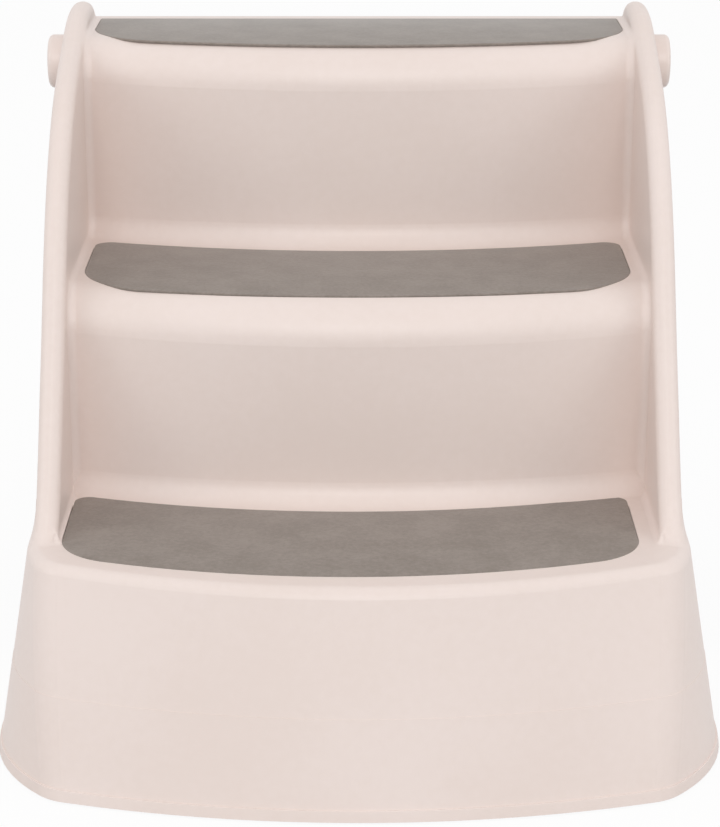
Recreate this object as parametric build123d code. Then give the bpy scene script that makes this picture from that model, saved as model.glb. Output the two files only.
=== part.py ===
from build123d import *
import math
import os

# Folding pet stairs: a moulded flight of three treads between two cheeks, and a rear leg
# frame that hangs from two pivot pins under the top tread and folds up into the hollow back.
# Millimetres. +Z is up, the stairs climb towards +Y and face -Y, +X is the right-hand side.
# Depths below are measured from the front lip and moved to the centre of the object last.

# Overall size
overall_depth = 450.0
crest_height = 376.8
skirt_half_width = 202.0
tread_count = 3

# Walls and fits
wall = 3.0
rib_thickness = 2.2
draw_gap = 0.3
bore_clearance = 0.05
cut_overrun = 20.0

# Skirted base
floor_gap = 1.0
lip_height = 6.0
lip_reach = 1.2
skirt_front = 1.2
skirt_front_radius = 502.0
skirt_top_front = 29.0
skirt_top_radius = 372.0
skirt_side_draft = 9.2
skirt_sweep_radius = 120.0
skirt_sweep_start = 115.0
skirt_corner_radius = 28.0
crease_height = 54.0
crease_reach = 0.25
base_behind_riser = 72.0
base_nose_radius = 7.0

# Treads and risers
first_riser_offset = 38.0
riser_to_pivot = 85.0
leg_setback = 67.0
nose_overhang = 12.0
nose_plan_radius = 470.0
riser_plan_radius = 540.0
nose_radius = 23.0
riser_foot_radius = 12.0
tread_behind_pivot = 38.0
rear_edge_radius = 5.0
apron_height = 42.0

# Cheeks
cheek_inset = 22.6
cheek_thickness = 13.5
rim_outer_radius = 7.0
rim_inner_radius = 5.8
junction_radius = 4.0
rim_start = 81.0
rim_sink = 13.0
crest_above_tread = 13.8
pivot_below_tread = 23.0
knee_height = 52.0
knee_radius = 26.0
# Rim line as shares of the way from its foot to the crest, along and up
rim_shares = (
    (0.207, 0.27),
    (0.284, 0.415),
    (0.38, 0.604),
    (0.49, 0.755),
    (0.609, 0.859),
    (0.808, 0.955),
)
rim_start_slope_share = 0.5

# Underside ribs
rib_depth = 8.0
rib_pitch = 56.0
rib_reach_half_width = 130.0

# Rear leg frame
leg_side_clearance = 4.2
leg_front_depth = 8.0
leg_rear_depth = 14.0
leg_stile_width = 32.0
leg_ear_radius = 16.5
leg_ear_thickness = 10.0
leg_top_rail_start = 28.0
leg_top_rail_end = 84.0
leg_rail_height = 30.0
leg_arch_height = 27.7
leg_window_radius = 14.0
leg_corner_radius = 3.0
shoe_behind_foot = 17.0
leg_rib_pitch = 30.0
stop_height = 14.0
stop_below_pivot = 8.0
stop_spacing = 9.0

# Rubber shoes under the rear leg
shoe_height = 9.0
shoe_floor = 5.0
shoe_margin = 2.5
shoe_corner_radius = 5.0
shoe_edge_radius = 1.5

# Pivots
pin_radius = 6.0
pin_bore_radius = 2.0
knob_radius = 16.5
knob_reach = 14.0
knob_neck_radius = 12.0
knob_neck_length = 3.5
knob_dome_radius = 3.2
knob_dish_radius = 11.5
knob_dish_depth = 1.2
boss_radius = 14.0
washer_radius = 11.0
washer_thickness = 1.6
screw_radius = 1.9
screw_length = 16.0
screw_head_radius = 4.2
screw_head_height = 2.8
screw_slot_width = 1.2
screw_slot_depth = 1.4

# Push-in rubber feet under the base
foot_radius = 11.0
foot_stem_radius = 3.5
foot_barb_radius = 5.0
foot_barb_height = 3.0
lug_radius = 15.0
lug_thickness = 3.0
front_foot_inset = 74.0
front_foot_from_front = 42.0
rear_foot_inset = 24.0
rear_foot_from_base_rear = 28.0

# Tread mats
mat_thickness = 1.5
mat_recess = 1.2
mat_clearance = 0.3
mat_edge_chamfer = 0.25
mat_rear_corner_radius = 13.0
lower_mat_front = 48.5
lower_mat_behind = 16.0
lower_mat_margin = 7.15
lower_mat_shift = -4.75
lower_mat_front_radius = 392.0
lower_mat_rear_radius = 470.0
lower_mat_corner_radius = 38.0
middle_mat_ahead = 7.5
middle_mat_behind = 16.0
middle_mat_margin = 6.9
middle_mat_shift = -0.8
middle_mat_front_radius = 545.0
middle_mat_rear_radius = 540.0
upper_mat_ahead = 4.0
upper_mat_behind = 16.0
upper_mat_margin = 3.6
upper_mat_front_radius = 485.0
upper_mat_corner_radius = 50.0

# Heights and places that follow from the sizes above
tread_rise = (crest_height - crest_above_tread) / tread_count
lower_tread = tread_rise
middle_tread = lower_tread + tread_rise
upper_tread = middle_tread + tread_rise
pivot_from_front = overall_depth - leg_setback
pivot_height = upper_tread - pivot_below_tread
lobe_radius = crest_height - pivot_height
second_riser_foot = pivot_from_front - riser_to_pivot
tread_run = (second_riser_foot - first_riser_offset) / 2
first_riser_foot = first_riser_offset + tread_run
top_tread_rear = pivot_from_front + tread_behind_pivot
base_rear = first_riser_foot + base_behind_riser
cheek_half_width = skirt_half_width - cheek_inset
inner_half_width = cheek_half_width - cheek_thickness
inner_wall_half_width = inner_half_width + wall
hollow_half_width = cheek_half_width - wall
leg_half_width = inner_wall_half_width - leg_side_clearance
leg_inner_half_width = leg_half_width - leg_stile_width
leg_foot_from_pivot = leg_setback - shoe_behind_foot
leg_open_degrees = math.degrees(math.atan(leg_foot_from_pivot / pivot_height))
leg_length = math.hypot(leg_foot_from_pivot, pivot_height)
leg_arch_start = leg_length - leg_arch_height
leg_bottom_rail_start = leg_arch_start - leg_rail_height
leg_middle_rail_start = (leg_top_rail_end + leg_bottom_rail_start - leg_rail_height) / 2
leg_middle_rail_end = leg_middle_rail_start + leg_rail_height
skirt_bottom = floor_gap

# Every piece is drawn from the front lip and shifted so that the origin is mid-depth
to_centre = Location((0, -overall_depth / 2, 0))


def arc_depth(front, radius, across):
    """Depth of a bowed edge at a distance from the centre line."""
    return front + radius - math.sqrt(radius**2 - across**2)


def block(x_span, y_span, z_span):
    """A box from its two ends along each axis."""
    centre = [(low + high) / 2 for low, high in (x_span, y_span, z_span)]
    length = [high - low for low, high in (x_span, y_span, z_span)]
    return Pos(*centre) * Box(*length)


def both_sides(solid):
    """A piece and its mirror image across the centre plane."""
    return solid + solid.mirror(Plane.YZ)


def skirt_cone(inset):
    """The tilted cone that the skirt's front is part of: it leans back and bows more as it rises."""
    height = lower_tread - skirt_bottom
    spread = math.atan((skirt_front_radius - skirt_top_radius) / height)
    lean = math.atan((skirt_top_front - skirt_front) / height)
    slant = skirt_front_radius / (math.cos(lean) * math.tan(spread))
    apex = Pos(0, skirt_front + slant * math.sin(lean), skirt_bottom + slant * math.cos(lean))
    length = slant + overall_depth / 2
    along = (Align.CENTER, Align.CENTER, Align.MAX)
    cone = Cone(length * math.tan(spread), 0, length, align=along)
    return apex * Rot(math.degrees(spread - lean), 0, 0) * Pos(0, 0, -inset / math.sin(spread)) * cone


def skirt_blank(inset, reach, top, rear):
    """The skirt up to a height: a leaning bowed front cut from drafted, swept sides."""
    half_width = skirt_half_width + reach - inset
    sweep = skirt_sweep_radius + reach - inset
    height = top - skirt_bottom
    front = skirt_sweep_start - sweep
    edge_x = half_width - sweep
    mid_x = edge_x + sweep * math.sqrt(0.5)
    mid_y = skirt_sweep_start - sweep * math.sqrt(0.5)
    far_rear = rear + cut_overrun + height
    right_sweep = ThreePointArc((edge_x, front), (mid_x, mid_y), (half_width, skirt_sweep_start))
    left_sweep = ThreePointArc((-half_width, skirt_sweep_start), (-mid_x, mid_y), (-edge_x, front))
    sides = Polyline(
        (half_width, skirt_sweep_start),
        (half_width, far_rear),
        (-half_width, far_rear),
        (-half_width, skirt_sweep_start),
    )
    outline = right_sweep + sides + left_sweep + Line((-edge_x, front), (edge_x, front))
    plan = Pos(0, 0, skirt_bottom) * make_face(outline)
    drafted = extrude(plan, height, taper=skirt_side_draft)
    span = (-half_width - cut_overrun, half_width + cut_overrun)
    kept = block(span, (-cut_overrun, rear), (0, top + cut_overrun))
    solid = drafted & skirt_cone(inset - reach) & kept
    corners = [
        e for e in solid.edges()
        if e.geom_type == GeomType.BSPLINE and e.center().Y < skirt_sweep_start and e.length > height / 2
    ]
    return fillet(corners, skirt_corner_radius + reach - inset)


def base_solid(inset, rear):
    """The closed base block up to the first tread, drawn in by an inset on every face."""
    solid = skirt_blank(inset, 0, lower_tread - inset, rear)
    top_edges = solid.faces().sort_by(Axis.Z)[-1].edges().sort_by(Axis.Y)[:-1]
    return fillet(top_edges, base_nose_radius - inset)


def lip_solid():
    """The thicker lip that runs round the bottom of the skirt."""
    blank = skirt_blank(0, lip_reach, crease_height, base_rear)
    half_width = skirt_half_width + lip_reach + cut_overrun
    kept = block((-half_width, half_width), (-cut_overrun, overall_depth), (0, skirt_bottom + lip_height))
    lip = blank & kept
    return fillet(lip.faces().sort_by(Axis.Z)[-1].edges(), lip_reach / 3)


def step_block(foot, low, high, inset, half_width, rear):
    """One riser and the tread above it, with a bowed leaning face."""
    nose = foot - nose_overhang

    def plan(height, front, radius):
        side = arc_depth(front, radius, half_width)
        edge = ThreePointArc((-half_width, side), (0, front), (half_width, side))
        rest = Polyline((half_width, side), (half_width, rear), (-half_width, rear), (-half_width, side))
        return Pos(0, 0, height) * make_face(edge + rest)

    lower = plan(low, foot + inset, riser_plan_radius - inset)
    upper = plan(high, nose + inset, nose_plan_radius - inset)
    solid = loft([lower, upper], ruled=True)
    nose_edge = solid.faces().sort_by(Axis.Z)[-1].edges().sort_by(Axis.Y)[0]
    return fillet(nose_edge, nose_radius - inset)


def round_foot(solid, foot, height, inset):
    """Rounds the inner corner where a riser stands on the tread below it."""
    foot_edges = [
        e for e in solid.edges()
        if abs(e.center().Z - height) < bore_clearance
        and e.length > inner_half_width
        and abs(e.center().Y - foot) < nose_radius
        and e.geom_type == GeomType.CIRCLE
    ]
    return fillet(foot_edges, riser_foot_radius + inset)


def flight_solid(inset, half_width, rear):
    """The two upper steps as a closed block, with rounded riser feet."""
    first = step_block(first_riser_foot, lower_tread - inset, middle_tread - inset, inset, half_width, rear)
    second = step_block(second_riser_foot, middle_tread - inset, upper_tread - inset, inset, half_width, rear)
    return round_foot(first + second, second_riser_foot, middle_tread - inset, inset)


def cheek_profile(inset):
    """Side view of a cheek: swept rim, round lobe at the pivot, straight rear edge."""
    lobe = lobe_radius - inset
    foot_z = lower_tread - rim_sink - inset
    start = (rim_start + inset, foot_z)
    crest = (pivot_from_front, pivot_height + lobe)
    run = crest[0] - start[0]
    rise = crest[1] - foot_z
    points = [start]
    for along_share, up_share in rim_shares:
        points.append((start[0] + along_share * run, foot_z + up_share * rise))
    points.append(crest)
    rim = Spline(*points, tangents=[(1, rim_start_slope_share), (1, 0)])
    rear = base_rear - inset
    to_knee = (rear - pivot_from_front, knee_height - pivot_height)
    reach = math.hypot(*to_knee)
    tilt = math.atan2(to_knee[1], to_knee[0]) + math.acos(lobe / reach)
    leave = (pivot_from_front + lobe * math.cos(tilt), pivot_height + lobe * math.sin(tilt))
    mid = (math.pi / 2 + tilt) / 2
    over = (pivot_from_front + lobe * math.cos(mid), pivot_height + lobe * math.sin(mid))
    round_top = ThreePointArc(crest, over, leave)
    back = Polyline(leave, (rear, knee_height), (rear, skirt_bottom), (start[0], skirt_bottom), start)
    face = make_face(rim + round_top + back)
    knee = [v for v in face.vertices() if abs(v.Y - knee_height) < bore_clearance]
    return fillet(knee, knee_radius)


def cheek_slab(inset, inner, outer):
    """A cheek profile given its thickness, standing in the side plane."""
    face = Plane.YZ * cheek_profile(inset)
    return Pos(inner, 0, 0) * extrude(face, outer - inner, dir=(1, 0, 0))


def cheek_solid():
    """One cheek with its rolled rim."""
    slab = cheek_slab(0, inner_half_width, cheek_half_width)
    rims = [
        e for e in slab.edges()
        if e.geom_type != GeomType.LINE and e.center().Z > lower_tread
        and e.length > wall + cheek_thickness
    ]
    slab = fillet([e for e in rims if e.center().X > cheek_half_width - wall], rim_outer_radius)
    inner_rims = [e for e in slab.edges() if abs(e.center().X - inner_half_width) < bore_clearance]
    inner_rims = [e for e in inner_rims if e.geom_type != GeomType.LINE and e.center().Z > lower_tread]
    return fillet([e for e in inner_rims if e.length > wall + cheek_thickness], rim_inner_radius)


def junction_edges(solid):
    """Inner corners where the upper treads and risers meet the cheeks."""
    return [
        e for e in solid.edges()
        if abs(abs(e.center().X) - inner_half_width) < bore_clearance
        and abs((e @ 0).X - (e @ 1).X) < bore_clearance
        and lower_tread + riser_foot_radius < e.center().Z < upper_tread + bore_clearance
        and e.length < tread_run
    ]


def lower_cove():
    """The cove between the right-hand cheek and the lowest tread."""
    inner = inner_half_width - junction_radius
    outer = inner_half_width + wall / 2
    rear = first_riser_foot + riser_foot_radius * 2
    corner = block((inner, outer), (rim_start, rear), (lower_tread - wall / 2, lower_tread + junction_radius))
    bar = Rot(90, 0, 0) * Cylinder(junction_radius, overall_depth * 2)
    return (corner - Pos(inner, 0, lower_tread + junction_radius) * bar) & cheek_slab(0, inner, outer)


def mat_outline(place, grow):
    """Plan of one tread mat, bowed in front, bowed or square behind, grown by a clearance."""
    half_width = place["half_width"]
    half = half_width + grow
    front = place["front"] - grow
    rear = place["rear"] + grow
    front_side = arc_depth(front, place["front_radius"], half_width)
    front_edge = ThreePointArc((-half, front_side), (0, front), (half, front_side))
    if place["rear_radius"]:
        rear_side = arc_depth(rear, place["rear_radius"], half_width)
        rear_edge = ThreePointArc((half, rear_side), (0, rear), (-half, rear_side))
    else:
        rear_side = rear
        rear_edge = Line((half, rear), (-half, rear))
    right = Line((half, front_side), (half, rear_side))
    left = Line((-half, rear_side), (-half, front_side))
    face = make_face(front_edge + right + rear_edge + left)
    front_corners = face.vertices().sort_by(Axis.Y)[:2]
    face = fillet(front_corners, place["corner_radius"] + grow)
    if place["rear_radius"]:
        rear_corners = face.vertices().sort_by(Axis.Y)[-2:]
        face = fillet(rear_corners, mat_rear_corner_radius + grow)
    return Pos(place["shift"], 0, place["tread"] - mat_recess) * face


def mat_solid(place):
    """A rubber mat that lies in its tread's recess."""
    mat = extrude(mat_outline(place, 0), mat_thickness)
    return chamfer(mat.faces().sort_by(Axis.Z)[-1].edges(), mat_edge_chamfer)


def mat_recess_solid(place):
    """The shallow pocket that a mat is glued into."""
    return extrude(mat_outline(place, mat_clearance), mat_recess + cut_overrun)


mats = {
    "tread_mat_lower": {
        "tread": lower_tread,
        "front": lower_mat_front,
        "rear": first_riser_foot - lower_mat_behind,
        "half_width": inner_half_width - lower_mat_margin,
        "shift": lower_mat_shift,
        "front_radius": lower_mat_front_radius,
        "rear_radius": lower_mat_rear_radius,
        "corner_radius": lower_mat_corner_radius,
    },
    "tread_mat_middle": {
        "tread": middle_tread,
        "front": first_riser_foot + middle_mat_ahead,
        "rear": second_riser_foot - middle_mat_behind,
        "half_width": inner_half_width - middle_mat_margin,
        "shift": middle_mat_shift,
        "front_radius": middle_mat_front_radius,
        "rear_radius": middle_mat_rear_radius,
        "corner_radius": upper_mat_corner_radius,
    },
    "tread_mat_upper": {
        "tread": upper_tread,
        "front": second_riser_foot + upper_mat_ahead,
        "rear": top_tread_rear - upper_mat_behind,
        "half_width": inner_half_width - upper_mat_margin,
        "shift": 0,
        "front_radius": upper_mat_front_radius,
        "rear_radius": 0,
        "corner_radius": upper_mat_corner_radius,
    },
}


def rear_edge_cutter():
    """Rounds the rear edge of the top tread, above its apron."""
    y = top_tread_rear - rear_edge_radius
    z = upper_tread - rear_edge_radius
    span = (-cheek_half_width, cheek_half_width)
    corner = block(span, (y, overall_depth), (z, crest_height + cut_overrun))
    return corner - Pos(0, y, z) * Rot(0, 90, 0) * Cylinder(rear_edge_radius, overall_depth)


def rib_slabs():
    """Upright planes that the underside ribs lie in."""
    slabs = []
    place = 0
    while place <= rib_reach_half_width:
        for x in {place, -place}:
            span = (x - rib_thickness / 2, x + rib_thickness / 2)
            slabs.append(block(span, (0, overall_depth), (skirt_bottom, crest_height)))
        place += rib_pitch
    return Part() + slabs


def inside_flight():
    """The open space under the treads, down to the floor and out to the back."""
    half = inner_wall_half_width
    covered = flight_solid(wall, half, top_tread_rear - wall) + base_solid(wall, base_rear - wall)
    behind_base = block((-half, half), (first_riser_foot + tread_run / 2, overall_depth), (0, lower_tread))
    behind_flight = block(
        (-half, half), (second_riser_foot + tread_run / 2, overall_depth), (0, upper_tread - apron_height)
    )
    return covered, covered + behind_base + behind_flight


def pivot_axis_cylinder(radius, inner, outer):
    """A round bar on the pivot axis between two distances from the centre plane."""
    centre = Pos((inner + outer) / 2, pivot_from_front, pivot_height)
    return centre * Rot(0, 90, 0) * Cylinder(radius, outer - inner)


def foot_place(front):
    """Where a rubber foot sits, on the right-hand side."""
    if front:
        return skirt_half_width - front_foot_inset, front_foot_from_front
    return skirt_half_width - rear_foot_inset, base_rear - rear_foot_from_base_rear


def foot_lug(front):
    """The tab inside the skirt that a rubber foot pushes into."""
    x, y = foot_place(front)
    height = (skirt_bottom, skirt_bottom + lug_thickness)
    lug = Pos(x, y, skirt_bottom + lug_thickness / 2) * Cylinder(lug_radius, lug_thickness)
    if front:
        tab = block((x - lug_radius, x + lug_radius), (skirt_front, y), height)
    else:
        tab = block((x, skirt_half_width), (y - lug_radius, y + lug_radius), height)
    return (lug + tab) & skirt_blank(wall / 2, 0, crease_height, base_rear)


def foot_hole(front):
    """The hole in a lug for the stem of its rubber foot."""
    x, y = foot_place(front)
    return Pos(x, y, skirt_bottom) * Cylinder(foot_stem_radius, lug_thickness * 3)


def stop_ribs():
    """Gussets on the rear apron that the open leg frame leans back against."""
    reach = leg_open_degrees
    ribs = Part()
    for place in (0, 1, 2):
        x = leg_inner_half_width + stop_spacing / 2 + place * stop_spacing
        span = (x - rib_thickness / 2, x + rib_thickness / 2)
        low = pivot_height - stop_below_pivot - stop_height
        ribs += block(span, (pivot_from_front, top_tread_rear - wall / 2), (low, pivot_height - stop_below_pivot))
    leaning = block(
        (0, leg_half_width + cut_overrun),
        (pivot_from_front - overall_depth, pivot_from_front + leg_rear_depth),
        (pivot_height - crest_height, pivot_height + crest_height),
    )
    leaning = Pos(0, pivot_from_front, pivot_height) * Rot(reach, 0, 0) * Pos(0, -pivot_from_front, -pivot_height) * leaning
    return ribs - leaning


def stair_body():
    """The moulded flight: treads, risers, cheeks and skirted base in one hollow shell."""
    cheek = cheek_solid()
    flight = flight_solid(0, inner_half_width + wall / 2, top_tread_rear)
    stepped = round_foot(base_solid(0, base_rear) + flight, first_riser_foot, lower_tread, 0)
    shell = flight + cheek + cheek.mirror(Plane.YZ)
    shell = fillet(junction_edges(shell), junction_radius) + stepped + both_sides(lower_cove())
    shell = shell + skirt_blank(0, crease_reach, crease_height, base_rear) + lip_solid() - rear_edge_cutter()

    covered, space = inside_flight()
    hollow = cheek_slab(wall, inner_wall_half_width - bore_clearance, hollow_half_width)
    body = shell - (space + hollow + hollow.mirror(Plane.YZ))
    body = body + ((covered & rib_slabs()) - Pos(0, rib_depth, -rib_depth) * space)

    boss = pivot_axis_cylinder(boss_radius, inner_wall_half_width, cheek_half_width - wall / 2)
    right = boss + stop_ribs() + foot_lug(True) + foot_lug(False)
    holes = pivot_axis_cylinder(pin_radius, leg_half_width, cheek_half_width + wall)
    holes = holes + foot_hole(True) + foot_hole(False)
    body = body + both_sides(right) - both_sides(holes)
    for place in mats.values():
        body = body - mat_recess_solid(place)
    return body


def lean(solid):
    """Swings a piece drawn straight down from the pivot back to its open position."""
    there = Pos(0, pivot_from_front, pivot_height)
    return there * Rot(leg_open_degrees, 0, 0) * solid


def leg_panel(x_span, down_span, depth_span):
    """A panel of the leg frame, by its width, distance down from the pivot and depth."""
    return block(x_span, depth_span, (-down_span[1], -down_span[0]))


def rounded_window(half_width, start, end, depth_span, radius):
    """An opening through the leg frame with round corners."""
    window = leg_panel((-half_width, half_width), (start, end), depth_span)
    corners = window.edges().filter_by(Axis.Y)
    return fillet(corners, radius)


def leg_blank(inset):
    """The leg frame's outline as a solid slab, drawn in by an inset."""
    depth = (-leg_front_depth, leg_rear_depth)
    half = leg_half_width - inset
    end = leg_length + cut_overrun
    slab = leg_panel((-half, half), (leg_top_rail_start + inset, end), depth)
    ear = Rot(0, 90, 0) * Cylinder(leg_ear_radius - inset, leg_ear_thickness)
    ear = Pos(leg_half_width - leg_ear_thickness / 2, 0, 0) * ear
    neck_inner = leg_half_width - leg_ear_thickness
    neck = leg_panel((neck_inner, half), (0, leg_top_rail_start + leg_corner_radius), depth)
    return slab + both_sides(ear + neck)


def leg_windows(grow):
    """The two windows and the arch between the feet."""
    through = (-leg_front_depth - cut_overrun, leg_rear_depth + cut_overrun)
    half = leg_inner_half_width + grow
    radius = leg_window_radius + grow
    upper = rounded_window(half, leg_top_rail_end - grow, leg_middle_rail_start + grow, through, radius)
    lower = rounded_window(half, leg_middle_rail_end - grow, leg_bottom_rail_start + grow, through, radius)
    arch = rounded_window(half, leg_arch_start - grow, leg_length + leg_stile_width * 2, through, radius)
    return upper + lower + arch


def rear_leg_frame():
    """The ladder-shaped moulded frame that props the stairs up from behind."""
    outer = leg_blank(0) - leg_windows(0)
    channel = leg_panel(
        (-leg_half_width + wall, leg_half_width - wall),
        (leg_top_rail_start + wall, leg_length + cut_overrun),
        (-leg_front_depth - cut_overrun, leg_rear_depth - wall),
    )
    channel = channel - leg_windows(wall)
    frame = outer - channel
    ribs = Part()
    down = leg_top_rail_start + leg_rib_pitch
    while down < leg_length - leg_rib_pitch / 2:
        place = (down - rib_thickness / 2, down + rib_thickness / 2)
        ribs += leg_panel((leg_inner_half_width, leg_half_width - wall / 2), place, (-leg_front_depth, leg_rear_depth))
        down += leg_rib_pitch
    web_span = (-leg_front_depth, leg_rear_depth)
    for place in range(-2, 3):
        x = place * rib_pitch
        span = (x - rib_thickness / 2, x + rib_thickness / 2)
        ribs_here = leg_panel(span, (leg_top_rail_start + wall / 2, leg_arch_start), web_span)
        frame = frame + (ribs_here - leg_windows(wall / 2))
    frame = frame + both_sides(ribs)
    boss = Rot(0, 90, 0) * Cylinder(boss_radius - wall, inner_wall_half_width - draw_gap - leg_half_width)
    boss = Pos((inner_wall_half_width - draw_gap + leg_half_width) / 2, 0, 0) * boss
    bore = Pos(leg_half_width, 0, 0) * Rot(0, 90, 0) * Cylinder(pin_radius + bore_clearance, leg_stile_width * 2)
    frame = lean(frame + both_sides(boss) - both_sides(bore))
    span = (-cheek_half_width, cheek_half_width)
    below = block(span, (0, overall_depth * 2), (-leg_length, shoe_floor))
    return frame - below


def leg_shoe():
    """The rubber shoe on the right-hand foot of the leg frame."""
    foot_y = pivot_from_front + leg_foot_from_pivot
    low_x = leg_inner_half_width - shoe_margin
    high_x = leg_half_width + shoe_margin
    rear = overall_depth
    front = rear - leg_front_depth - leg_rear_depth - shoe_margin * 2
    shoe = block((low_x, high_x), (front, rear), (0, shoe_height))
    shoe = fillet(shoe.edges().filter_by(Axis.Z), shoe_corner_radius)
    shoe = fillet(shoe.faces().sort_by(Axis.Z)[-1].edges(), shoe_edge_radius)
    pocket = leg_panel(
        (leg_inner_half_width - draw_gap, leg_half_width + draw_gap),
        (leg_arch_start, leg_length + cut_overrun),
        (-leg_front_depth - draw_gap, leg_rear_depth + draw_gap),
    )
    above = block((0, cheek_half_width), (0, overall_depth * 2), (shoe_floor, crest_height))
    return shoe - (lean(pocket) & above)


def pivot_pin():
    """The right-hand pivot: domed knob, neck and hollow shank."""
    shank_end = leg_half_width - leg_ear_thickness - draw_gap
    shank = pivot_axis_cylinder(pin_radius, shank_end, cheek_half_width)
    neck = pivot_axis_cylinder(knob_neck_radius, cheek_half_width, cheek_half_width + knob_neck_length)
    knob = pivot_axis_cylinder(knob_radius, cheek_half_width + knob_neck_length, cheek_half_width + knob_reach)
    face = knob.faces().sort_by(Axis.X)[-1]
    knob = fillet(face.edges(), knob_dome_radius)
    face_x = cheek_half_width + knob_reach
    dish = pivot_axis_cylinder(knob_dish_radius, face_x - knob_dish_depth, face_x + knob_dish_depth)
    bore = pivot_axis_cylinder(pin_bore_radius, shank_end - wall, shank_end + screw_length)
    return shank + neck + knob - dish - bore


def pivot_washer():
    """The washer that keeps the leg frame's ear on its pin."""
    outer = leg_half_width - leg_ear_thickness - draw_gap
    disc = pivot_axis_cylinder(washer_radius, outer - washer_thickness, outer)
    return disc - pivot_axis_cylinder(pin_bore_radius, outer - washer_thickness - wall, outer + wall)


def pivot_screw():
    """The pan-head screw that clamps the washer to the pin."""
    seat = leg_half_width - leg_ear_thickness - draw_gap - washer_thickness
    shaft = pivot_axis_cylinder(screw_radius, seat, seat + screw_length)
    head = pivot_axis_cylinder(screw_head_radius, seat - screw_head_height, seat)
    head = fillet(head.faces().sort_by(Axis.X)[0].edges(), screw_head_height / 3)
    centre = Pos(seat - screw_head_height, pivot_from_front, pivot_height)
    slot = Box(screw_slot_depth * 2, screw_slot_width, screw_head_radius * 3)
    return shaft + head - centre * slot


def rubber_foot(front):
    """A push-in rubber foot: disc, stem and barb."""
    x, y = foot_place(front)
    lug_top = skirt_bottom + lug_thickness
    disc = Pos(x, y, skirt_bottom / 2) * Cylinder(foot_radius, skirt_bottom)
    stem = Pos(x, y, lug_top / 2) * Cylinder(foot_stem_radius, lug_top)
    barb = Pos(x, y, lug_top + foot_barb_height / 2) * Cone(foot_barb_radius, foot_stem_radius, foot_barb_height)
    return disc + stem + barb


right_pieces = {
    "pivot_pin": pivot_pin(),
    "pivot_washer": pivot_washer(),
    "pivot_screw": pivot_screw(),
    "base_foot_front": rubber_foot(True),
    "base_foot_rear": rubber_foot(False),
    "leg_shoe": leg_shoe(),
}

pieces = {"stair_body": stair_body(), "rear_leg_frame": rear_leg_frame()}
for name, place in mats.items():
    pieces[name] = mat_solid(place)
for name, piece in right_pieces.items():
    pieces[name + "_right"] = piece
    pieces[name + "_left"] = piece.mirror(Plane.YZ)

os.makedirs("parts", exist_ok=True)
for name, piece in pieces.items():
    piece = to_centre * piece
    piece.label = name
    export_step(piece, f"parts/{name}.step")
    print(name, round(piece.volume), "cubic mm", "valid" if piece.is_valid else "NOT VALID", len(piece.solids()))
print("leg leans back", round(leg_open_degrees, 2), "degrees")
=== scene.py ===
# %% [markdown]
# # Folding pet stairs, dressed for a studio picture
# The solids come from the CAD frame, in metres, with the floor at height zero
# and the stairs facing -Y. This lesson adds the camera, the studio and the
# surface finishes, and models again what the solids only hint at. Every number
# is in metres unless its name says otherwise.

# %% Load the frame
import math

import bmesh
import bpy
import numpy as np
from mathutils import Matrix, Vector
from mathutils.bvhtree import BVHTree


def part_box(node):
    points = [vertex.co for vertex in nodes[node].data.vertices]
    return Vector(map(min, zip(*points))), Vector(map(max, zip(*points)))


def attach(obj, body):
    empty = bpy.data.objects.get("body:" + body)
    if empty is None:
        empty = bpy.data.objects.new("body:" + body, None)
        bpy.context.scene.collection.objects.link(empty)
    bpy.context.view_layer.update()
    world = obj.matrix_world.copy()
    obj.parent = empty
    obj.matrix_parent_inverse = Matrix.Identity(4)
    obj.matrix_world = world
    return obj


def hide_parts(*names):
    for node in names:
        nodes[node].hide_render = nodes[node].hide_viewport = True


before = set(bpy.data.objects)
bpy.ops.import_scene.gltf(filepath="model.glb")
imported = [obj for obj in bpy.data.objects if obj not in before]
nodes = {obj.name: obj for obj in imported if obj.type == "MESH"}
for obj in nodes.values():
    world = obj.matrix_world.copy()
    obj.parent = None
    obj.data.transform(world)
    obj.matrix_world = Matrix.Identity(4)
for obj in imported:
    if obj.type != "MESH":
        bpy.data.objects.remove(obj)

scene = bpy.context.scene
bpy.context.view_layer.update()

# %% [markdown]
# ## Camera
# The picture was taken from straight in front, a little above the top tread,
# with a long lens, so the steps hardly converge. The three equal rises and runs
# fix the tilt and the distance: 17 degrees down from 1.3 m before the base. A
# lens of 118 mm on a 36 mm tall sensor gives the same spread of rays.

# %% Camera
CAMERA_PLACE = (0.0, -1.525, 0.624)
CAMERA_TILT_DEG = 17.0
LENS_MM = 117.8
SENSOR_MM = 36.0
SIDE_SHIFT = 0.0012

camera_data = bpy.data.cameras.new("studio_camera")
camera_data.lens = LENS_MM
camera_data.sensor_width = SENSOR_MM
camera_data.shift_x = SIDE_SHIFT
camera = bpy.data.objects.new("studio_camera", camera_data)
camera.location = CAMERA_PLACE
camera.rotation_euler = (math.radians(90 - CAMERA_TILT_DEG), 0, 0)
scene.collection.objects.link(camera)
scene.camera = camera
scene.view_settings.view_transform = "Standard"
print("camera at", CAMERA_PLACE, "tilted", CAMERA_TILT_DEG, "degrees")

# %% [markdown]
# ## Node trees that read like arithmetic
# A finish is a small sum of noises and masks, and a mat's rounded edge is a sine
# and a cosine. Written node by node both would be hard to follow. So a socket is
# wrapped in a class whose +, -, * and / each add a Math node, and every other
# node comes from one method that takes its type, its settings and its sockets.
# The same two classes serve materials, the world and geometry trees.

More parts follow.
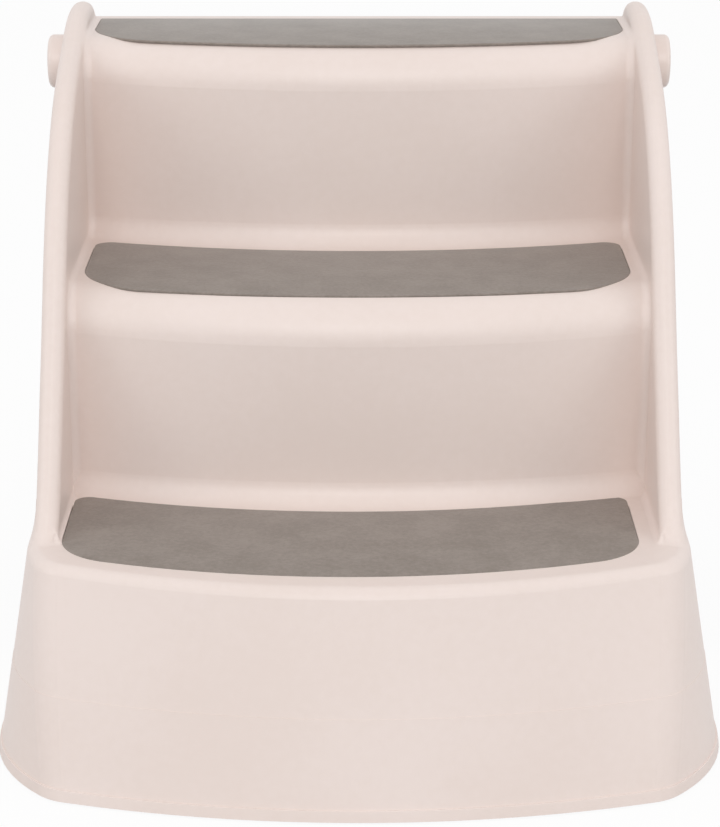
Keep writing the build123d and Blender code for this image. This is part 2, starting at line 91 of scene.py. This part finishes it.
# %% Signals
class Signal:
    """A number travelling through a node tree."""

    def __init__(self, graph, socket):
        self.graph = graph
        self.socket = socket

    def math(self, operation, *values):
        node = self.graph.add("ShaderNodeMath", {"operation": operation}, dict(enumerate(values)))
        return Signal(self.graph, node.outputs[0])

    def __add__(self, other):
        return self.math("ADD", self, other)

    def __radd__(self, other):
        return self.math("ADD", other, self)

    def __sub__(self, other):
        return self.math("SUBTRACT", self, other)

    def __rsub__(self, other):
        return self.math("SUBTRACT", other, self)

    def __mul__(self, other):
        return self.math("MULTIPLY", self, other)

    def __rmul__(self, other):
        return self.math("MULTIPLY", other, self)

    def __truediv__(self, other):
        return self.math("DIVIDE", self, other)

    def __rtruediv__(self, other):
        return self.math("DIVIDE", other, self)

    def highest(self, other):
        return self.math("MAXIMUM", self, other)

    def lowest(self, other):
        return self.math("MINIMUM", self, other)

    def band(self, low, high):
        """0 below low, 1 above high, smooth between."""
        sockets = {"Value": self, "From Min": low, "From Max": high}
        node = self.graph.add("ShaderNodeMapRange", {"interpolation_type": "SMOOTHSTEP"}, sockets)
        return Signal(self.graph, node.outputs["Result"])


print("Signal:", Signal.__doc__)


# %% Graphs
class Graph:
    """A node tree, with one method that adds any node."""

    def __init__(self, tree):
        self.tree = tree

    def feed(self, socket, value):
        if isinstance(value, Signal):
            self.tree.links.new(value.socket, socket)
        elif isinstance(value, bpy.types.NodeSocket):
            self.tree.links.new(value, socket)
        else:
            socket.default_value = value

    def add(self, kind, settings=None, sockets=None):
        node = self.tree.nodes.new(kind)
        for name, value in (settings or {}).items():
            setattr(node, name, value)
        for key, value in (sockets or {}).items():
            self.feed(node.inputs[key], value)
        return node

    def signal(self, node, output=0):
        return Signal(self, node.outputs[output])


print("Graph:", Graph.__doc__)

# %% [markdown]
# ## What every finish is made of
# Each material is one Principled shader fed by a few noises, a colour that lies
# between two colours, and a shallow bump. They all read Object coordinates, so a
# pattern stays on its piece when the leg folds.

# %% Finishes
MIX_FIRST_COLOUR = 6
MIX_SECOND_COLOUR = 7
MIX_COLOUR_OUT = 2


class Finish(Graph):
    """A material with a Principled shader, and the few textures used here."""

    def __init__(self, name, roughness, specular):
        self.material = bpy.data.materials.new(name)
        self.material.use_nodes = True
        super().__init__(self.material.node_tree)
        self.shader = self.tree.nodes["Principled BSDF"]
        self.shader.inputs["Roughness"].default_value = roughness
        self.shader.inputs["Specular IOR Level"].default_value = specular
        self.place = self.add("ShaderNodeTexCoord").outputs["Object"]

    def noise(self, size, detail=3.0, roughness=0.5):
        """Noise whose lumps are about size metres across, around 0.5."""
        sockets = {"Vector": self.place, "Scale": 1 / size, "Detail": detail, "Roughness": roughness}
        return self.signal(self.add("ShaderNodeTexNoise", None, sockets), "Fac")

    def axis(self, name):
        """How far a point lies along X, Y or Z."""
        return self.signal(self.add("ShaderNodeSeparateXYZ", None, {"Vector": self.place}), name)

    def blend(self, amount, first, second):
        """A colour between two colours."""
        node = self.add("ShaderNodeMix", {"data_type": "RGBA"}, {"Factor": amount})
        self.feed(node.inputs[MIX_FIRST_COLOUR], (*first, 1.0))
        self.feed(node.inputs[MIX_SECOND_COLOUR], (*second, 1.0))
        return node.outputs[MIX_COLOUR_OUT]

    def colour(self, value):
        self.feed(self.shader.inputs["Base Color"], value)

    def roughness(self, value):
        self.feed(self.shader.inputs["Roughness"], value)

    def relief(self, height, depth):
        """A bump whose height runs over depth metres."""
        bump = self.add("ShaderNodeBump", None, {"Height": height, "Distance": depth})
        self.feed(self.shader.inputs["Normal"], bump.outputs["Normal"])


print("Finish:", Finish.__doc__)


# %% Dressing
def dress(finish, *names):
    """Gives CAD nodes a finish, in all their slots."""
    for name in names:
        piece = nodes[name]
        if not piece.material_slots:
            piece.data.materials.append(finish.material)
        for slot in piece.material_slots:
            slot.link = "OBJECT"
            slot.material = finish.material
    print(finish.material.name, "on", ", ".join(names))


# %% [markdown]
# ## Beige moulded plastic
# The stair body is polypropylene with a fine eroded grain: satin, not glossy,
# a warm pinkish beige. Three scales matter. A grain of about half a millimetre
# breaks up the highlight, a slow drift over a hand's width keeps the large faces
# from looking painted, and faint clouds of a few millimetres show as the uneven
# sheen that moulded sheet has. The lowest two centimetres are a touch duller,
# where the skirt is handled and rubs along the floor.
#
# A painted texture could show all this, but it would have to be laid out over a
# body with many curved faces. Noises in the piece's own space need no layout.

# %% Plastic finish
PLASTIC_PALE = (0.820, 0.716, 0.672)
PLASTIC_DEEP = (0.790, 0.682, 0.632)
GRAIN_SIZE = 0.0006
CLOUD_SIZE = 0.005
DRIFT_SIZE = 0.12
TONE_LOW = 0.3
TONE_HIGH = 0.7
RUBBED_BELOW = 0.004
CLEAN_ABOVE = 0.02
PLASTIC_RELIEF = 0.00003


def plastic_finish(name, roughness):
    finish = Finish(name, roughness, specular=0.5)
    drift = finish.noise(DRIFT_SIZE, detail=2.0)
    grain = finish.noise(GRAIN_SIZE, detail=2.0, roughness=0.6)
    cloud = finish.noise(CLOUD_SIZE)
    rubbed = 1 - finish.axis("Z").band(RUBBED_BELOW, CLEAN_ABOVE)
    tone = (drift * 0.7 + cloud * 0.3).band(TONE_LOW, TONE_HIGH)
    finish.colour(finish.blend(tone, PLASTIC_DEEP, PLASTIC_PALE))
    finish.roughness(roughness - 0.07 + grain * 0.08 + drift * 0.06 + rubbed * 0.08)
    finish.relief(grain * 0.8 + cloud * 0.2, PLASTIC_RELIEF)
    return finish


moulding = plastic_finish("beige_moulding", roughness=0.42)
knob_moulding = plastic_finish("beige_knob", roughness=0.34)
dress(moulding, "stair_body", "rear_leg_frame")
dress(knob_moulding, "pivot_pin_left", "pivot_pin_right")

# %% [markdown]
# ## Warm grey rubber
# The mats are thin sheets of warm grey rubber. From above they show a fine
# uneven weave: flecks of a couple of millimetres in soft clouds, and a pebbled
# skin that spreads the light. Seen at a low angle the sheet looks paler, as the
# highest mat does in the picture, so the mats have a weak sheen. The feet and
# shoes are the same rubber in a darker mix, without the sheen.
#
# The pebbles could be real bumps in the mesh, but at under a millimetre across
# they are hardly wider than a pixel of the picture, so a bump in the shader is
# enough for them.

# %% Rubber finish
MAT_PALE = (0.296, 0.256, 0.228)
MAT_DEEP = (0.212, 0.182, 0.157)
FOOT_PALE = (0.22, 0.20, 0.18)
FOOT_DEEP = (0.17, 0.152, 0.135)
FLECK_SIZE = 0.0024
PATCH_SIZE = 0.022
PEBBLE_SIZE = 0.0009
RUBBER_RELIEF = 0.0002
MAT_SHEEN = 0.2
MAT_SHEEN_ROUGHNESS = 0.35


def rubber_finish(name, pale, deep):
    finish = Finish(name, roughness=0.6, specular=0.45)
    fleck = finish.noise(FLECK_SIZE, detail=4.0, roughness=0.65)
    patch = finish.noise(PATCH_SIZE)
    pebble = finish.noise(PEBBLE_SIZE, detail=2.0)
    tone = (fleck * 0.6 + patch * 0.4).band(TONE_LOW, TONE_HIGH)
    finish.colour(finish.blend(tone, deep, pale))
    finish.roughness(0.5 + fleck * 0.16)
    finish.relief(pebble * 0.6 + fleck * 0.4, RUBBER_RELIEF)
    return finish


mat_rubber = rubber_finish("mat_rubber_grey", MAT_PALE, MAT_DEEP)
mat_rubber.shader.inputs["Sheen Weight"].default_value = MAT_SHEEN
mat_rubber.shader.inputs["Sheen Roughness"].default_value = MAT_SHEEN_ROUGHNESS
foot_rubber = rubber_finish("foot_rubber_grey", FOOT_PALE, FOOT_DEEP)
dress(foot_rubber, "base_foot_front_left", "base_foot_front_right", "base_foot_rear_left",
      "base_foot_rear_right", "leg_shoe_left", "leg_shoe_right")

# %% [markdown]
# ## Tread mats
# Each mat is a sheet 1.5 mm thick, punched to a bowed outline with round corners
# and laid in a shallow recess, so that less than a millimetre stands proud. A
# flat solid has a hard edge and no softness where the light catches it. A mat's
# shape follows a rule, so Geometry Nodes suit it: the outline is a closed curve,
# a wall profile with a rounded shoulder is swept round it, and the curve drawn
# in by the shoulder's radius is filled for the top. One tree serves all three.
#
# The front and the rear of a mat are arcs round centres on its middle line. Its
# corners are smaller arcs that touch them and the straight sides. The highest
# mat has no rear arc, because it ends in a straight edge.

# %% Mat outline
MAT_CORNER_STEPS = 14
MAT_EDGE_STEPS = 60


def arc_points(centre, radius, start, end, steps):
    """Points on an arc, by its two end angles in radians."""
    angles = [start + (end - start) * k / steps for k in range(steps + 1)]
    return [(centre[0] + radius * math.cos(a), centre[1] + radius * math.sin(a)) for a in angles]


def mat_outline(low, high, front_radius, front_corner, rear_radius, rear_corner, rear_middle):
    """Outline of a mat as wide as its CAD box, bowed in front and, with a rear radius, behind."""
    middle = (low[0] + high[0]) / 2
    half = (high[0] - low[0]) / 2
    front_centre = low[1] + front_radius
    corner_x = half - front_corner
    corner_y = front_centre - math.sqrt((front_radius - front_corner) ** 2 - corner_x**2)
    lean = math.atan2(corner_y - front_centre, corner_x)
    right = arc_points((0, front_centre), front_radius, -math.pi / 2, lean, MAT_EDGE_STEPS)
    right += arc_points((corner_x, corner_y), front_corner, lean, 0, MAT_CORNER_STEPS)[1:]
    if rear_radius:
        rear_centre = high[1] - rear_middle + rear_radius
        corner_x = half - rear_corner
        corner_y = rear_centre - math.sqrt((rear_radius + rear_corner) ** 2 - corner_x**2)
        lean = math.atan2(rear_centre - corner_y, -corner_x)
        right += arc_points((corner_x, corner_y), rear_corner, 0, lean, MAT_CORNER_STEPS)
        right += arc_points((0, rear_centre), rear_radius, lean - math.pi, -math.pi / 2, MAT_EDGE_STEPS)[1:]
    else:
        right += [(half, high[1]), (0, high[1])]
    left = [(-x, y) for x, y in reversed(right[1:-1])]
    return [(middle + x, y) for x, y in right + left]


quarter = [(round(x, 3), round(y, 3)) for x, y in arc_points((0, 0), 1, 0, math.pi / 2, 2)]
print("a quarter of a 1 m circle in two steps:", quarter)

# %% [markdown]
# ## The tree of a mat
# The wall's profile starts as a straight line of points. Point 0 stays at the
# foot of the wall, and each further point takes its place by its index on the
# quarter circle of the shoulder. Swept round the outline, the profile gives the
# wall. The top is the outline drawn in by the shoulder, filled and lifted, and
# the underside is the outline filled. Points that meet are merged, which closes
# the slab.

# %% Small steps in a geometry tree
def node_input(tree, name, kind, value=None):
    """A named input of a geometry tree, with its starting value."""
    socket = tree.interface.new_socket(name, in_out="INPUT", socket_type=kind)
    if value is not None:
        socket.default_value = value
    return socket


def xyz(graph, **parts):
    """A vector put together from its X, Y and Z."""
    return graph.add("ShaderNodeCombineXYZ", None, parts).outputs[0]


def moved(graph, geometry, **way):
    """A geometry at a Position, or moved by an Offset."""
    return graph.add("GeometryNodeSetPosition", None, {"Geometry": geometry, **way}).outputs[0]


def curve_of(graph, mesh):
    """A curve along the edges of a mesh."""
    return graph.add("GeometryNodeMeshToCurve", None, {"Mesh": mesh}).outputs[0]


def filled_curve(graph, curve):
    """One flat face inside a closed curve."""
    return graph.add("GeometryNodeFillCurve", {"mode": "NGONS"}, {"Curve": curve}).outputs[0]


# %% Mat wall
def mat_wall(graph, outline, thickness, shoulder, steps):
    """The upright edge with its rounded shoulder, swept round the outline."""
    step = graph.signal(graph.add("GeometryNodeInputIndex"))
    turn = (step - 1).highest(0) / steps * (math.pi / 2)
    across = shoulder * (1 - turn.math("COSINE", turn))
    height = step.lowest(1) * (thickness - shoulder + shoulder * turn.math("SINE", turn))
    line = graph.add("GeometryNodeMeshLine", None, {"Count": steps + 2}).outputs[0]
    profile = curve_of(graph, moved(graph, line, Position=xyz(graph, X=0 - across, Y=0 - height)))
    sockets = {"Curve": outline, "Profile Curve": profile}
    return graph.add("GeometryNodeCurveToMesh", None, sockets).outputs[0]


# %% Mat top
def mat_top(graph, outline, thickness, shoulder):
    """The flat top, inside the shoulder."""
    normal = graph.add("GeometryNodeInputNormal").outputs[0]
    inward = graph.add("ShaderNodeVectorMath", {"operation": "SCALE"}, {0: normal, "Scale": 0 - shoulder})
    drawn_in = moved(graph, outline, Offset=inward.outputs[0])
    return moved(graph, filled_curve(graph, drawn_in), Offset=xyz(graph, Z=thickness))


# %% Mat tree
MAT_THICKNESS = 0.0015
MAT_SHOULDER = 0.0005
MAT_SHOULDER_STEPS = 5
MAT_MERGE_DISTANCE = 0.00001


def mat_tree():
    """Geometry tree: closed outline in, slab with a rounded shoulder out."""
    tree = bpy.data.node_groups.new("tread_mat_slab", "GeometryNodeTree")
    node_input(tree, "Outline", "NodeSocketGeometry")
    node_input(tree, "Underside height", "NodeSocketFloat", 0.0)
    node_input(tree, "Thickness", "NodeSocketFloat", MAT_THICKNESS)
    node_input(tree, "Shoulder", "NodeSocketFloat", MAT_SHOULDER)
    node_input(tree, "Shoulder steps", "NodeSocketInt", MAT_SHOULDER_STEPS)
    node_input(tree, "Finish", "NodeSocketMaterial")
    tree.interface.new_socket("Mat", in_out="OUTPUT", socket_type="NodeSocketGeometry")

    graph = Graph(tree)
    given = graph.add("NodeGroupInput").outputs
    thickness = Signal(graph, given["Thickness"])
    shoulder = Signal(graph, given["Shoulder"])
    steps = Signal(graph, given["Shoulder steps"])
    loop = curve_of(graph, given["Outline"])
    outline = graph.add("GeometryNodeSetCurveNormal", {"mode": "Z_UP"}, {"Curve": loop}).outputs[0]

    wall = mat_wall(graph, outline, thickness, shoulder, steps)
    top = mat_top(graph, outline, thickness, shoulder)
    underside = filled_curve(graph, outline)
    joined = graph.add("GeometryNodeJoinGeometry")
    for part in (wall, top, underside):
        tree.links.new(part, joined.inputs[0])
    sockets = {"Geometry": joined.outputs[0], "Distance": MAT_MERGE_DISTANCE}
    merged = graph.add("GeometryNodeMergeByDistance", None, sockets).outputs[0]
    raised = moved(graph, merged, Offset=xyz(graph, Z=given["Underside height"]))
    smooth = graph.add("GeometryNodeSetShadeSmooth", None, {"Geometry": raised}).outputs[0]
    real = graph.add("GeometryNodeRealizeInstances", None, {"Geometry": smooth}).outputs[0]
    sockets = {"Geometry": real, "Material": given["Finish"]}
    finished = graph.add("GeometryNodeSetMaterial", None, sockets).outputs[0]
    graph.add("NodeGroupOutput", None, {"Mat": finished})
    return tree


slab_tree = mat_tree()
print("mat tree:", len(slab_tree.nodes), "nodes")


# %% [markdown]
# ## From a tree to a plain mesh
# The outline is a loop of edges that carries the tree as a modifier. A piece has
# to be a plain mesh when it is handed over, so the evaluated result is copied
# and the modifier goes. The copy can start with an empty material slot, which is
# taken out. Faces are turned outwards, and open edges are counted: none should
# be left.

# %% Keeping a piece
def kept_piece(name, mesh, shell):
    """Turns a shell's faces outwards, writes it to its mesh and puts the piece in the scene."""
    bmesh.ops.recalc_face_normals(shell, faces=shell.faces)
    open_edges = sum(1 for edge in shell.edges if not edge.is_manifold)
    shell.to_mesh(mesh)
    shell.free()
    mesh.name = name
    piece = bpy.data.objects.new(name, mesh)
    scene.collection.objects.link(piece)
    print(name, len(mesh.polygons), "faces,", open_edges, "open edges")
    return piece


# %% Tree to plain mesh
def grown(name, points, tree, values):
    """Runs a geometry tree on a closed outline and keeps the result as a plain mesh."""
    outline = bpy.data.meshes.new(name + "_outline")
    count = len(points)
    outline.from_pydata(points, [(k, (k + 1) % count) for k in range(count)], [])
    seed = bpy.data.objects.new(name + "_seed", outline)
    scene.collection.objects.link(seed)
    modifier = seed.modifiers.new("tree", "NODES")
    modifier.node_group = tree
    for item in tree.interface.items_tree:
        if item.in_out == "INPUT" and item.name in values:
            modifier[item.identifier] = values[item.name]
    evaluated = seed.evaluated_get(bpy.context.evaluated_depsgraph_get())
    mesh = bpy.data.meshes.new_from_object(evaluated)
    while mesh.materials[0] is None:
        mesh.materials.pop(index=0)
    seed.modifiers.remove(modifier)
    bpy.data.objects.remove(seed)
    shell = bmesh.new()
    shell.from_mesh(mesh)
    return kept_piece(name, mesh, shell)


# %% [markdown]
# ## The three mats
# Width, depth and height of each mat come from the box of its solid. The radii
# of its arcs and corners, and how far the middle of its rear edge lies in front
# of the box's rear, were read off the picture through the fitted camera.

# %% The three mats
MAT_SHAPES = {
    "tread_mat_lower": {
        "front_radius": 0.392,
        "front_corner": 0.036,
        "rear_radius": 0.445,
        "rear_corner": 0.008,
        "rear_middle": 0.0205,
    },
    "tread_mat_middle": {
        "front_radius": 0.545,
        "front_corner": 0.048,
        "rear_radius": 0.500,
        "rear_corner": 0.009,
        "rear_middle": 0.0190,
    },
    "tread_mat_upper": {
        "front_radius": 0.485,
        "front_corner": 0.048,
        "rear_radius": 0,
        "rear_corner": 0,
        "rear_middle": 0,
    },
}

for node, shape in MAT_SHAPES.items():
    low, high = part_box(node)
    outline = [(x, y, 0) for x, y in mat_outline(low, high, **shape)]
    values = {
        "Underside height": low[2],
        "Thickness": MAT_THICKNESS,
        "Shoulder": MAT_SHOULDER,
        "Shoulder steps": MAT_SHOULDER_STEPS,
        "Finish": mat_rubber.material,
    }
    mat = grown(node + "_sheet", outline, slab_tree, values)
    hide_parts(node)
    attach(mat, "stairs")

# %% [markdown]
# ## Soft feet of the cheeks
# On the real moulding each cheek flows into the shoulder of the base, while the
# solid ends in a plain corner there. A bevel would need one clean edge, and the
# corner runs over many small faces. A ball that rolls along such a corner
# leaves exactly the blend that a toolmaker cuts. So the corner is sliced at
# stations along the cheek's flank and round its front. In each slice the outline
# is swollen by the ball and shrunk by it again, which fills only the hollow. The
# fillings of all slices together make one filler piece on each side, whose
# underside lies a millimetre deep in the plastic, so that it is closed all round.
#
# The stations start on the cheek's outer flank near the middle of the stairs,
# run forward, and turn round its front to the inner side. The ball is large on
# the flank, smaller in front and smallest inside. The filling fades in along
# the flank and out at the end of the turn.

# %% Stations round a cheek's foot
FOOT_MIDDLE_X = 0.1727
FOOT_TURN_Y = -0.105
FOOT_REAR_Y = 0.012
FOOT_HEIGHT = 0.121
FLANK_STEP = 0.002
TURN_STEP_DEG = 3
FRONT_DEG = 90
TURN_DEG = 130
FLANK_BALL = 0.075
FRONT_BALL = 0.018
INNER_BALL = 0.004
FLANK_FADE = 0.03
TURN_FADE_DEG = 12
UP = Vector((0, 0, 1))


def foot_stations(sign):
    """Place, outward direction, ball radius and share of each slice."""
    stations = []
    flank_count = round((FOOT_REAR_Y - FOOT_TURN_Y) / FLANK_STEP)
    for k in range(flank_count):
        place = Vector((sign * FOOT_MIDDLE_X, FOOT_REAR_Y - k * FLANK_STEP, FOOT_HEIGHT))
        share = min(k * FLANK_STEP / FLANK_FADE, 1)
        stations.append((place, Vector((sign, 0, 0)), FLANK_BALL, share))
    corner = Vector((sign * FOOT_MIDDLE_X, FOOT_TURN_Y, FOOT_HEIGHT))
    for turn in range(0, TURN_DEG + 1, TURN_STEP_DEG):
        angle = math.radians(turn)
        outward = Vector((sign * math.cos(angle), -math.sin(angle), 0))
        if turn <= FRONT_DEG:
            ball = FLANK_BALL + (FRONT_BALL - FLANK_BALL) * turn / FRONT_DEG
        else:
            ball = FRONT_BALL + (INNER_BALL - FRONT_BALL) * (turn - FRONT_DEG) / (TURN_DEG - FRONT_DEG)
        stations.append((corner, outward, ball, min((TURN_DEG - turn) / TURN_FADE_DEG, 1)))
    return stations


print("stations round one foot:", len(foot_stations(1)))

# %% Rolling ball
SLICE_STEP = 0.0006
SLICE_HALF = 0.05


def slice_heights(tree, place, along, view):
    """How far the body stands out towards the view, along one line."""
    count = round(SLICE_HALF / SLICE_STEP)
    heights = []
    for k in range(-count, count + 1):
        spot = tree.ray_cast(place + along * (k * SLICE_STEP) + view * SLICE_HALF, -view)[0]
        heights.append(-SLICE_HALF if spot is None else (spot - place).dot(view))
    return np.array(heights)


def ball_filled(heights, radius):
    """The line after a ball has rolled over it: hollows filled, the rest as it was."""
    reach = int(radius / SLICE_STEP)
    shifts = range(-reach, reach + 1)
    drops = [math.sqrt(radius**2 - (k * SLICE_STEP) ** 2) - radius for k in shifts]
    padded = np.pad(heights, reach, constant_values=-SLICE_HALF)
    swollen = np.max([np.roll(padded, k) + drop for k, drop in zip(shifts, drops)], axis=0)
    shrunk = np.min([np.roll(swollen, k) - drop for k, drop in zip(shifts, drops)], axis=0)
    return shrunk[reach:len(shrunk) - reach]


square_corner = np.abs(np.arange(-SLICE_HALF, SLICE_HALF, SLICE_STEP))
depth = (ball_filled(square_corner, FRONT_BALL) - square_corner).max()
print("a ball of", FRONT_BALL * 1000, "mm fills a square corner", round(depth * 1000, 1), "mm deep")


# %% Fillings of a foot
SLICE_FIRST = 40
SLICE_LAST = 104
SMOOTHING_ROUNDS = 2


def foot_fills(tree, sign):
    """Each slice's directions, the body's heights in it and the fillings over them."""
    frames, grounds, fills = [], [], []
    for place, outward, ball, share in foot_stations(sign):
        view = (outward + UP).normalized()
        along = (UP - outward).normalized()
        heights = slice_heights(tree, place, along, view)
        frames.append((place, along, view))
        grounds.append(heights)
        fills.append((ball_filled(heights, ball) - heights) * share)
    fills = np.array(fills)
    fills[:, :SLICE_FIRST] = 0
    fills[:, SLICE_LAST:] = 0
    for _ in range(SMOOTHING_ROUNDS):
        fills[1:-1] = fills[1:-1] / 2 + (fills[:-2] + fills[2:]) / 4
    print("fills up to", round(float(fills.max()) * 1000, 2), "mm")
    return frames, grounds, fills


body_mesh = nodes["stair_body"].data
body_corners = [vertex.co for vertex in body_mesh.vertices]
body_faces = [polygon.vertices for polygon in body_mesh.polygons]
body_tree = BVHTree.FromPolygons(body_corners, body_faces)
foot_slices = {side: foot_fills(body_tree, sign) for side, sign in (("left", -1), ("right", 1))}

# %% [markdown]
# ## Closing the feet
# The fillings are heights on a grid of slices and steps. Where one is worth
# filling, and one step round about, a top point lies on the filling and a root
# point a millimetre deep in the body. Four neighbours make a face of the top and
# one of the root, and the border is closed by a wall, which stays hidden. Only
# the top is shaded smooth, so the wall does not darken its edge.

# %% Shell of a foot
BLEND_LEAST = 0.00002
BLEND_ROOT = 0.001


def foot_points(shell, frames, grounds, fills):
    """The top and root points of a filler piece, by slice and step."""
    filled = {tuple(key) for key in np.argwhere(fills > BLEND_LEAST)}
    around = {(k + i, n + j) for k, n in filled for i in (-1, 0, 1) for j in (-1, 0, 1)}
    tops, roots = {}, {}
    for k, n in sorted(key for key in around if 0 <= key[0] < len(frames)):
        place, along, view = frames[k]
        lift = fills[k, n] if (k, n) in filled else -BLEND_LEAST
        ground = place + along * (n * SLICE_STEP - SLICE_HALF) + view * grounds[k][n]
        tops[k, n] = shell.verts.new(ground + view * lift)
        roots[k, n] = shell.verts.new(ground - view * BLEND_ROOT)
    return tops, roots


def foot_faces(shell, tops, roots):
    """Top and root faces between neighbouring points, and the wall round them."""
    sides = set()
    for k, n in sorted(tops):
        square = [(k, n), (k + 1, n), (k + 1, n + 1), (k, n + 1)]
        if all(key in tops for key in square):
            shell.faces.new([tops[key] for key in square]).smooth = True
            shell.faces.new([roots[key] for key in reversed(square)])
            sides |= {(square[i - 1], square[i]) for i in range(4)}
    for start, end in sorted(sides):
        if (end, start) not in sides:
            shell.faces.new([tops[end], tops[start], roots[start], roots[end]])
    for edge in shell.edges:
        edge.smooth = all(face.smooth for face in edge.link_faces)


# %% Cheek feet
for side, (frames, grounds, fills) in foot_slices.items():
    shell = bmesh.new()
    tops, roots = foot_points(shell, frames, grounds, fills)
    foot_faces(shell, tops, roots)
    lonely = [vertex for vertex in shell.verts if not vertex.link_faces]
    bmesh.ops.delete(shell, geom=lonely, context="VERTS")
    foot_mesh = bpy.data.meshes.new(f"cheek_foot_{side}")
    foot_mesh.materials.append(moulding.material)
    foot = kept_piece(f"cheek_foot_{side}", foot_mesh, shell)
    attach(foot, "stairs")

# %% [markdown]
# ## Zinc plated steel
# The screws and washers inside the flight are small pressed steel parts. Zinc
# is a thin cloudy skin on them: grey metal whose brightness and polish drift
# over a few millimetres, with a fine unevenness in no direction. Two noises make
# it, because one even grey would look like paint.

# %% Zinc finish
ZINC_DARK = (0.52, 0.52, 0.50)
ZINC_BRIGHT = (0.68, 0.68, 0.66)
SPANGLE_SIZE = 0.003
SCRATCH_SIZE = 0.0008
ZINC_RELIEF = 0.00002

zinc = Finish("zinc_plate", roughness=0.35, specular=0.5)
zinc.shader.inputs["Metallic"].default_value = 1.0
spangle = zinc.noise(SPANGLE_SIZE)
zinc.colour(zinc.blend(spangle.band(0.35, 0.65), ZINC_DARK, ZINC_BRIGHT))
zinc.roughness(0.28 + spangle * 0.2)
zinc.relief(zinc.noise(SCRATCH_SIZE, detail=2.0), ZINC_RELIEF)
dress(zinc, "pivot_washer_left", "pivot_washer_right", "pivot_screw_left", "pivot_screw_right")

# %% [markdown]
# ## Studio
# A white floor, one large lamp far in front and a little above, and a weak lamp
# at each side that lights the flanks and the rolled rims. The picture has hardly
# a shadow on the treads, which a lamp high above would throw. The floor and the
# world show white to the camera, to mirror rays and through glass, so the
# background stays white while the light on the stairs stays plain. A part of
# the lit floor is mixed into its white, so that it still takes their shadow, and
# the glow is a little above 1 to make up for that darker part.

# %% Floor
FLOOR_HALF = 6.0
FLOOR_ALBEDO = 0.5
FLOOR_WHITE_SHARE = 0.86
FLOOR_GLOW = 1.067
BACKGROUND_RAYS = ("Is Camera Ray", "Is Glossy Ray", "Is Transmission Ray")


def seen_directly(graph):
    """1 for camera, mirror and glass rays, 0 for the rays that light the stairs."""
    rays = graph.add("ShaderNodeLightPath").outputs
    from_camera, from_mirror, through_glass = (Signal(graph, rays[name]) for name in BACKGROUND_RAYS)
    return from_camera.highest(from_mirror).highest(through_glass)


floor_mesh = bpy.data.meshes.new("studio_floor")
corners = [(x * FLOOR_HALF, y * FLOOR_HALF, 0) for x, y in ((-1, -1), (1, -1), (1, 1), (-1, 1))]
floor_mesh.from_pydata(corners, [], [(0, 1, 2, 3)])
floor = bpy.data.objects.new("studio_floor", floor_mesh)
scene.collection.objects.link(floor)
white_floor = Finish("studio_floor_white", roughness=0.9, specular=0.2)
white_floor.colour((FLOOR_ALBEDO, FLOOR_ALBEDO, FLOOR_ALBEDO, 1))
glow = white_floor.add("ShaderNodeEmission", None, {"Color": (1, 1, 1, 1), "Strength": FLOOR_GLOW})
share = seen_directly(white_floor) * FLOOR_WHITE_SHARE
sockets = {0: share, 1: white_floor.shader.outputs[0], 2: glow.outputs[0]}
floor_mix = white_floor.add("ShaderNodeMixShader", None, sockets)
white_floor.feed(white_floor.tree.nodes["Material Output"].inputs["Surface"], floor_mix.outputs[0])
floor_mesh.materials.append(white_floor.material)
print("floor", 2 * FLOOR_HALF, "m wide")

# %% World
WORLD_COLOUR = (1.0, 0.995, 0.995, 1)
WORLD_STRENGTH = 0.77
SKY_WHITE = 0.972

world = bpy.data.worlds.new("studio_world")
scene.world = world
world.use_nodes = True
sky = Graph(world.node_tree)
plain = world.node_tree.nodes["Background"]
plain.inputs["Color"].default_value = WORLD_COLOUR
plain.inputs["Strength"].default_value = WORLD_STRENGTH
white = sky.add("ShaderNodeBackground", None, {"Color": (1, 1, 1, 1), "Strength": SKY_WHITE})
sockets = {0: seen_directly(sky), 1: plain.outputs[0], 2: white.outputs[0]}
sky_mix = sky.add("ShaderNodeMixShader", None, sockets)
sky.feed(world.node_tree.nodes["World Output"].inputs["Surface"], sky_mix.outputs[0])
print("world strength", WORLD_STRENGTH)

# %% Lamps
LAMP_COLOUR = (1.0, 0.99, 0.985)
LAMPS = (
    ("key_front", (0.0, -7.5, 4.0), (0, 0, 0.2), 4.0, 172.0),
    ("side_left", (-1.8, -0.7, 0.9), (0, 0, 0.25), 1.0, 5.0),
    ("side_right", (1.8, -0.7, 0.9), (0, 0, 0.25), 1.0, 5.0),
)
for name, place, aim, size, watts in LAMPS:
    lamp_data = bpy.data.lights.new(name, "AREA")
    lamp_data.shape = "SQUARE"
    lamp_data.size = size
    lamp_data.energy = watts
    lamp_data.color = LAMP_COLOUR
    lamp = bpy.data.objects.new(name, lamp_data)
    lamp.location = place
    lamp.rotation_euler = (Vector(aim) - Vector(place)).to_track_quat("-Z", "Y").to_euler()
    scene.collection.objects.link(lamp)
print("lamps:", ", ".join(lamp[0] for lamp in LAMPS))
